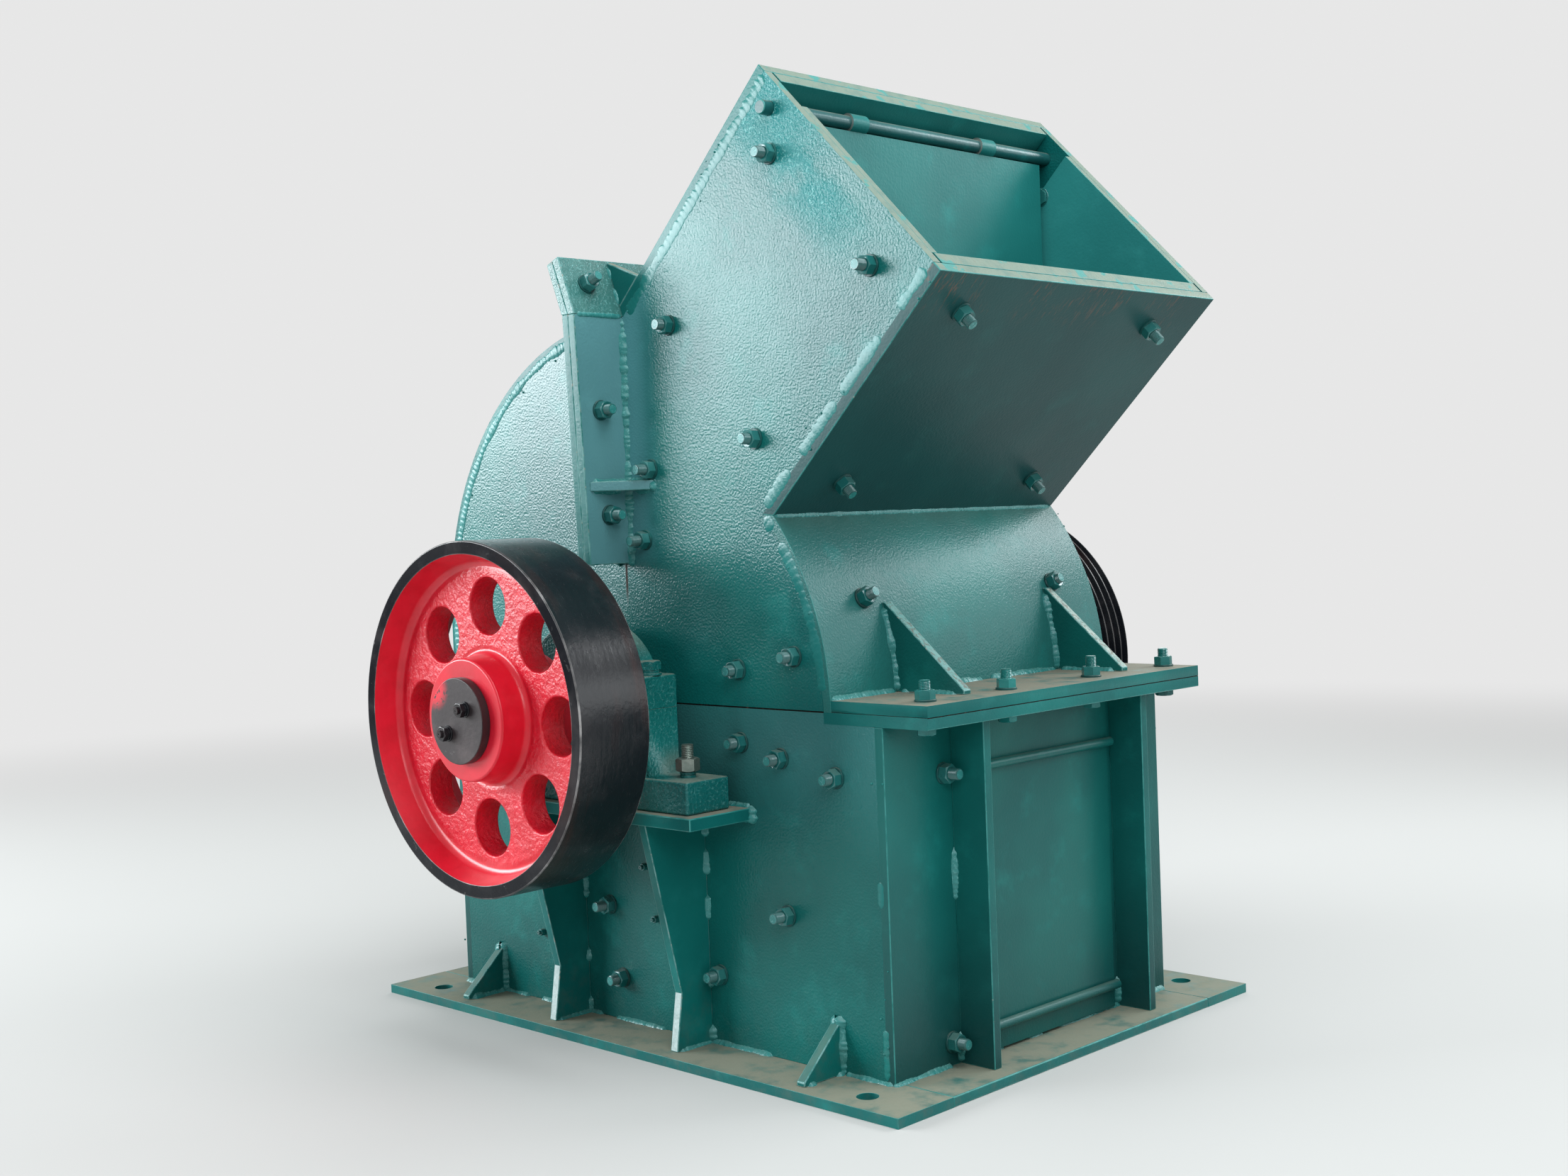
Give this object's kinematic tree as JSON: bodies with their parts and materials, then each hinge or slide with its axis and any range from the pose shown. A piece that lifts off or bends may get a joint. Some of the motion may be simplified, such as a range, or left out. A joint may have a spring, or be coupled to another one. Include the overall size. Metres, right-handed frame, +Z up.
{
  "type": "hammer crusher",
  "caption": "Welded steel hammer crusher with an inclined feed hopper, rounded housing, bearing stands, flywheel and V-belt pulley on a base frame.",
  "frame": {"origin": "centre of the anchor hole pattern, on the underside of the base frame", "axes": "+X towards the side that the feed hopper faces; +Y along the rotor shaft, from the flywheel to the belt pulley; +Z up"},
  "size_m": [1.1772, 1.273, 1.397],
  "materials": {
    "teal_paint": "gloss",
    "worn_steel": "rough",
    "shaft_steel": "satin",
    "red_paint": "gloss",
    "black_paint": "gloss"
  },
  "bodies": {
    "housing": {"base_side_strips": "teal_paint", "base_cross_strips": "teal_paint", "lower_side_near": "teal_paint", "lower_side_far": "teal_paint", "lower_front_wall": "teal_paint", "lower_rear_wall": "teal_paint", "front_wall_ribs": "teal_paint", "front_wall_panel": "teal_paint", "lower_front_flange": "teal_paint", "upper_front_flange": "teal_paint", "flange_gussets": "teal_paint", "lower_rear_flange": "teal_paint", "upper_rear_flange": "teal_paint", "corner_gussets": "teal_paint", "stand_ribs": "teal_paint", "bearing_shelves": "teal_paint", "pillow_block_near": "teal_paint", "pillow_block_far": "teal_paint", "pillow_cap_near": "teal_paint", "pillow_cap_far": "teal_paint", "upper_side_near": "teal_paint", "upper_side_far": "teal_paint", "round_front_plate": "teal_paint", "hopper_lower_plate": "teal_paint", "hopper_upper_plate": "teal_paint", "hopper_cross_liners": "teal_paint", "hopper_side_liners": "teal_paint", "top_gussets": "teal_paint", "cover_side_near": "teal_paint", "cover_side_far": "teal_paint", "cover_skin": "teal_paint", "body_upright_flanges": "teal_paint", "cover_upright_flanges": "teal_paint", "body_top_flange": "teal_paint", "cover_top_flange": "teal_paint", "flange_stiffeners": "teal_paint", "flap_rod": "teal_paint", "grate_bars": "worn_steel", "grate_rails": "worn_steel"},
    "rotor": {"rotor_shaft": "shaft_steel", "rotor_discs": "worn_steel", "disc_collars": "worn_steel", "hammer_pins": "worn_steel", "hammers": "worn_steel", "flywheel": "red_paint", "belt_pulley": "black_paint", "shaft_end_plates": "black_paint"},
    "flap": {"feed_flap": "teal_paint"}
  },
  "joints": [
    {"name": "rotor_spin", "type": "hinge", "parent": "housing", "child": "rotor", "pos_m": [-0.037, 0, 0.5085], "axis": [0, 1, 0], "continuous": true},
    {"name": "feed_flap_swing", "type": "hinge", "parent": "housing", "child": "flap", "pos_m": [0.31526, 0, 1.33335], "axis": [0, 1, 0], "range_deg": [-6, 46]}
  ]
}
